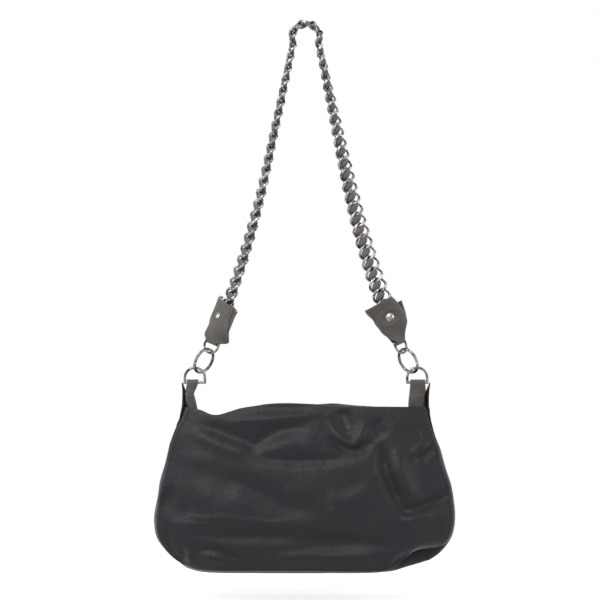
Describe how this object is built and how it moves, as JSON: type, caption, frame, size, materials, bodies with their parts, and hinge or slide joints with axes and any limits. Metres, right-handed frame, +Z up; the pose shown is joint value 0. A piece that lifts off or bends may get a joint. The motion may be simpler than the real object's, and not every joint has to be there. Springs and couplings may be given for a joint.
{
  "type": "chain shoulder bag",
  "caption": "Soft leather shoulder bag with a zipped mouth, hung by spring-gate clips and D-rings from a laced curb chain.",
  "frame": {"origin": "the point under the middle link of the chain where a hook or hand carries the bag", "axes": "+Z up, -Y the front of the bag, +X to the right as seen from the front"},
  "size_m": [0.313, 0.076, 0.5738],
  "materials": {
    "leather_black": "soft matte charcoal leather",
    "leather_grey": "matte brown-grey leather",
    "dark_nickel": "polished dark nickel plate",
    "spring_steel": "plain steel",
    "lining_cloth": "plain black cotton",
    "base_board": "stiff fibre board",
    "zip_tape": "woven tape",
    "zip_metal": "dark nickel"
  },
  "bodies": {
    "hook_chain": {"chain_top": "dark_nickel", "lace_top": "leather_grey"},
    "left_upper_chain": {"chain_upper_left": "dark_nickel", "lace_upper_left": "leather_grey"},
    "left_lower_chain": {"chain_lower_left": "dark_nickel", "lace_lower_left": "leather_grey", "end_tab_left": "leather_grey", "rivet_cap_left": "dark_nickel", "rivet_post_left": "dark_nickel", "end_ring_left": "dark_nickel"},
    "left_clip": {"clip_body_left": "dark_nickel", "gate_pin_left": "spring_steel", "gate_spring_left": "spring_steel"},
    "left_gate": {"clip_gate_left": "dark_nickel"},
    "left_dring": {"dring_left": "dark_nickel"},
    "right_upper_chain": {"chain_upper_right": "dark_nickel", "lace_upper_right": "leather_grey"},
    "right_lower_chain": {"chain_lower_right": "dark_nickel", "lace_lower_right": "leather_grey", "end_tab_right": "leather_grey", "rivet_cap_right": "dark_nickel", "rivet_post_right": "dark_nickel", "end_ring_right": "dark_nickel"},
    "right_clip": {"clip_body_right": "dark_nickel", "gate_pin_right": "spring_steel", "gate_spring_right": "spring_steel"},
    "right_gate": {"clip_gate_right": "dark_nickel"},
    "right_dring": {"dring_right": "dark_nickel"},
    "bag": {"front_panel": "leather_black", "back_panel": "leather_black", "base_gusset": "leather_black", "side_gusset_left": "leather_black", "side_gusset_right": "leather_black", "base_board": "base_board", "lining": "lining_cloth", "inner_pocket": "lining_cloth", "zip_facing_front": "leather_black", "zip_facing_back": "leather_black", "zip_tape_front": "zip_tape", "zip_tape_back": "zip_tape", "zip_teeth_front": "zip_metal", "zip_teeth_back": "zip_metal", "zip_stops": "zip_metal", "loop_tab_left": "leather_black", "loop_tab_right": "leather_black"},
    "zip_slider_body": {"zip_slider": "zip_metal"},
    "zip_puller_body": {"zip_puller": "zip_metal"}
  },
  "joints": [
    {"name": "left_upper_swing", "type": "hinge", "parent": "hook_chain", "child": "left_upper_chain", "pos_m": [-0.01335, 0, -0.01622], "axis": [1, 0, 0], "range_deg": [-28, 28]},
    {"name": "left_lower_swing", "type": "hinge", "parent": "left_upper_chain", "child": "left_lower_chain", "pos_m": [-0.04367, 0, -0.15699], "axis": [-1, 0, 0], "range_deg": [-28, 28]},
    {"name": "left_clip_swing", "type": "hinge", "parent": "left_lower_chain", "child": "left_clip", "pos_m": [-0.10093, 0, -0.33552], "axis": [1, 0, 0], "range_deg": [-32, 32]},
    {"name": "left_dring_swing", "type": "hinge", "parent": "left_clip", "child": "left_dring", "pos_m": [-0.11082, 0, -0.3541], "axis": [-1, 0, 0], "range_deg": [-35, 35]},
    {"name": "left_gate_open", "type": "hinge", "parent": "left_clip", "child": "left_gate", "pos_m": [-0.10731, -0.00819, -0.3353], "axis": [0.7233, -0.5736, -0.3846], "range_deg": [0, 28], "stiffness_Nm_per_rad": 0.004, "springref_deg": -14.32},
    {"name": "right_upper_swing", "type": "hinge", "parent": "hook_chain", "child": "right_upper_chain", "pos_m": [0.01335, 0, -0.01622], "axis": [1, 0, 0], "range_deg": [-28, 28]},
    {"name": "right_lower_swing", "type": "hinge", "parent": "right_upper_chain", "child": "right_lower_chain", "pos_m": [0.04367, 0, -0.15699], "axis": [-1, 0, 0], "range_deg": [-28, 28]},
    {"name": "right_clip_swing", "type": "hinge", "parent": "right_lower_chain", "child": "right_clip", "pos_m": [0.10093, 0, -0.33552], "axis": [1, 0, 0], "range_deg": [-32, 32]},
    {"name": "right_dring_swing", "type": "hinge", "parent": "right_clip", "child": "right_dring", "pos_m": [0.11082, 0, -0.3541], "axis": [-1, 0, 0], "range_deg": [-35, 35]},
    {"name": "right_gate_open", "type": "hinge", "parent": "right_clip", "child": "right_gate", "pos_m": [0.10731, -0.00819, -0.3353], "axis": [0.7233, 0.5736, 0.3846], "range_deg": [0, 28], "stiffness_Nm_per_rad": 0.004, "springref_deg": -14.32},
    {"name": "bag_swing", "type": "hinge", "parent": "left_dring", "child": "bag", "pos_m": [-0.1157, 0, -0.36828], "axis": [1, 0, 0], "range_deg": [-90, 90]},
    {"name": "zip_slide", "type": "slide", "parent": "bag", "child": "zip_slider_body", "axis": [1, 0, 0], "range_m": [0, 0.1654]},
    {"name": "puller_flip", "type": "hinge", "parent": "zip_slider_body", "child": "zip_puller_body", "pos_m": [-0.0827, 0, -0.40279], "axis": [0, -1, 0], "range_deg": [0, 170]}
  ],
  "couplings": [
    {"joint": "right_upper_swing", "follows": "left_upper_swing", "ratio": 1},
    {"joint": "right_lower_swing", "follows": "left_lower_swing", "ratio": 1},
    {"joint": "right_clip_swing", "follows": "left_clip_swing", "ratio": 1},
    {"joint": "right_dring_swing", "follows": "left_dring_swing", "ratio": 1}
  ]
}
